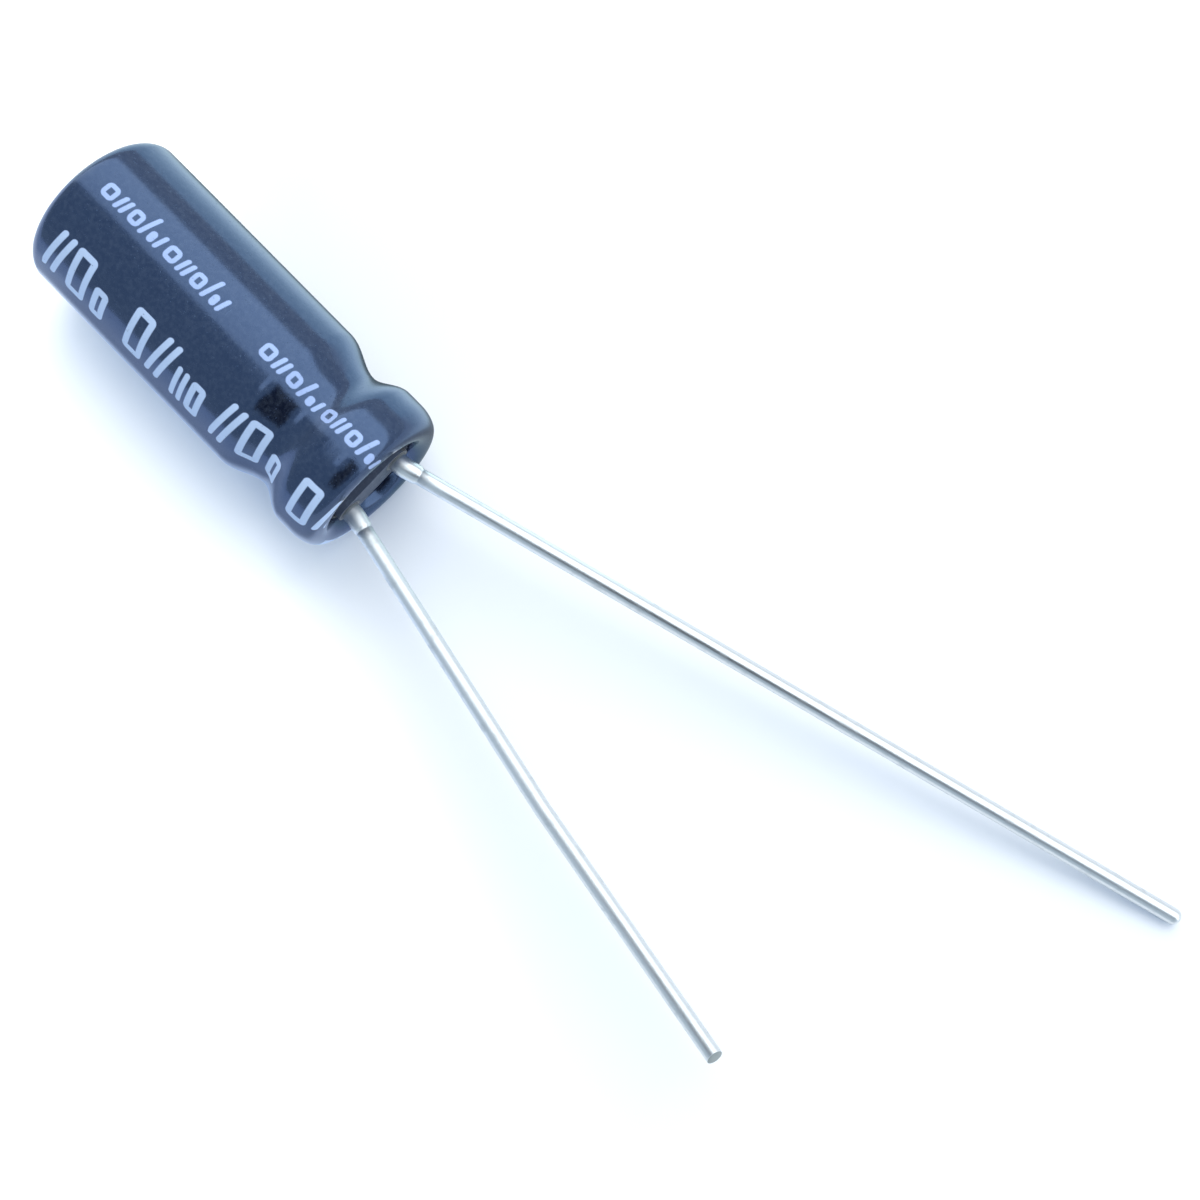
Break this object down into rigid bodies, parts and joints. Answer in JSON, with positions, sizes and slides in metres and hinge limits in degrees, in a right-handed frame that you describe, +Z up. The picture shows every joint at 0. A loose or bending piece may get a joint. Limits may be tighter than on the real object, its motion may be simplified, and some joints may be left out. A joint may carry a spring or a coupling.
{
  "type": "electrolytic capacitor",
  "caption": "Small radial aluminium electrolytic capacitor: sleeved can with a beaded, crimped end and two splayed wire leads, lying on its side.",
  "frame": {"origin": "on the surface that the capacitor lies on, below the middle of its bounding box", "axes": "+X along the can's axis towards the leads, +Y towards the long lead's side, +Z up from the surface"},
  "size_m": [0.037, 0.0128, 0.0052],
  "materials": {
    "sleeve_film": "satin shrink film",
    "can_aluminium": "drawn, satin",
    "bung_rubber": "matt moulded",
    "etched_foil": "etched, dull grey",
    "plain_foil": "satin",
    "separator_paper": "soaked paper",
    "tape": "clear brown film",
    "tab_aluminium": "drawn",
    "tinned_wire": "bright tin plate"
  },
  "bodies": {
    "root": {"sleeve": "sleeve_film", "can": "can_aluminium", "bung": "bung_rubber", "anode_foil": "etched_foil", "cathode_foil": "plain_foil", "inner_separator": "separator_paper", "outer_separator": "separator_paper", "fixing_tape": "tape", "anode_tab": "tab_aluminium", "cathode_tab": "tab_aluminium", "anode_lead": "tinned_wire", "cathode_lead": "tinned_wire"}
  },
  "joints": []
}
